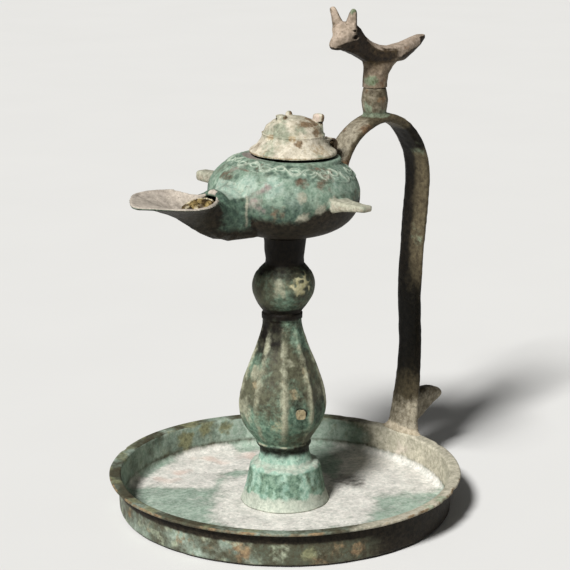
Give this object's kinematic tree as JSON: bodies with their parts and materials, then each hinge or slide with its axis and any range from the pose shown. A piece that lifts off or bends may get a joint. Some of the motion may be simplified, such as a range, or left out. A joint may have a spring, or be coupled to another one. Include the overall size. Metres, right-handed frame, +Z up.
{
  "type": "oil lamp on stand",
  "caption": "Bronze oil lamp with a scoop nozzle and hinged lid, on a fluted stem in a round tray, with an arched strap handle topped by a small animal.",
  "frame": {"origin": "centre of the tray's flat underside", "axes": "+Z up; the nozzle points along -X, the handle stands at +X, the two side lugs point along -Y and +Y"},
  "size_m": [0.2204, 0.188, 0.2618],
  "materials": {
    "tray_bronze": "matt green and chalky patina over bronze",
    "stem_bronze": "dark olive patina over bronze",
    "lamp_bronze": "mint green and brown patina over bronze",
    "lid_bronze": "pale buff crust over bronze",
    "pin_bronze": "dark patina over bronze",
    "handle_bronze": "dark brown patina over bronze",
    "finial_bronze": "brown and buff crust over bronze"
  },
  "bodies": {
    "stand": {"tray": "tray_bronze", "stem": "stem_bronze", "lamp_body": "lamp_bronze", "hinge_pin": "pin_bronze", "handle": "handle_bronze", "finial": "finial_bronze"},
    "lid": {"lid": "lid_bronze"}
  },
  "joints": [
    {"name": "lid_hinge", "type": "hinge", "parent": "stand", "child": "lid", "pos_m": [0.03105, -0.00085, 0.1918], "axis": [0.0004, 0.9998, 0.0192], "range_deg": [0, 85]}
  ]
}
